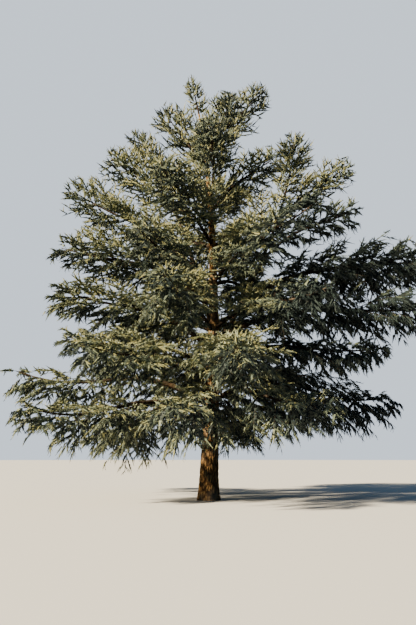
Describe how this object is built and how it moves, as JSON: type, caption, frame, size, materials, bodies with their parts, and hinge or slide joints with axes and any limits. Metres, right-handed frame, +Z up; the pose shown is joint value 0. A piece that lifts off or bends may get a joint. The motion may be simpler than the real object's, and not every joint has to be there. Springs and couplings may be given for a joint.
{
  "type": "cedar tree",
  "caption": "Broad old blue-grey cedar: a tapering trunk with two ascending leaders, tiers of long level boughs and flat masses of needle sprays, down to the flat cut at the ground.",
  "frame": {"origin": "middle of the trunk's flat cut at ground level", "axes": "+Z up, -Y towards the side that the picture shows, +X to the right in it"},
  "size_m": [19.0297, 14.3862, 21.15],
  "materials": {
    "trunk_bark": "rough fissured bark",
    "bough_bark": "rough bark",
    "needles": "matt waxy needles"
  },
  "bodies": {
    "root": {"trunk": "trunk_bark", "leader_left": "bough_bark", "leader_right": "bough_bark", "bough_fifth_left": "bough_bark", "bough_fifth_right": "bough_bark", "bough_fourth_left": "bough_bark", "bough_fourth_right": "bough_bark", "bough_low_front": "bough_bark", "bough_low_front_right": "bough_bark", "bough_low_left": "bough_bark", "bough_low_left_front": "bough_bark", "bough_low_right_back": "bough_bark", "bough_second_left": "bough_bark", "bough_second_right": "bough_bark", "bough_third_left": "bough_bark", "bough_third_right": "bough_bark", "foliage_fifth_back": "needles", "foliage_fifth_front": "needles", "foliage_fifth_front_right": "needles", "foliage_fifth_left": "needles", "foliage_fifth_left_back": "needles", "foliage_fifth_right": "needles", "foliage_fourth_back": "needles", "foliage_fourth_front_left": "needles", "foliage_fourth_front_right": "needles", "foliage_fourth_left": "needles", "foliage_fourth_left_back": "needles", "foliage_fourth_right": "needles", "foliage_leader_left": "needles", "foliage_leader_right": "needles", "foliage_low_back": "needles", "foliage_low_front": "needles", "foliage_low_front_right": "needles", "foliage_low_left": "needles", "foliage_low_left_back": "needles", "foliage_low_left_front": "needles", "foliage_low_right_back": "needles", "foliage_second_front": "needles", "foliage_second_front_left": "needles", "foliage_second_left": "needles", "foliage_second_left_back": "needles", "foliage_second_right": "needles", "foliage_second_right_back": "needles", "foliage_sixth_back": "needles", "foliage_sixth_front": "needles", "foliage_sixth_front_right": "needles", "foliage_sixth_left": "needles", "foliage_sixth_right": "needles", "foliage_third_back": "needles", "foliage_third_front": "needles", "foliage_third_front_right": "needles", "foliage_third_left": "needles", "foliage_third_left_back": "needles", "foliage_third_right": "needles", "foliage_top_back": "needles", "foliage_top_front": "needles", "foliage_top_left": "needles", "foliage_top_right": "needles", "foliage_top_shoot": "needles"}
  },
  "joints": []
}
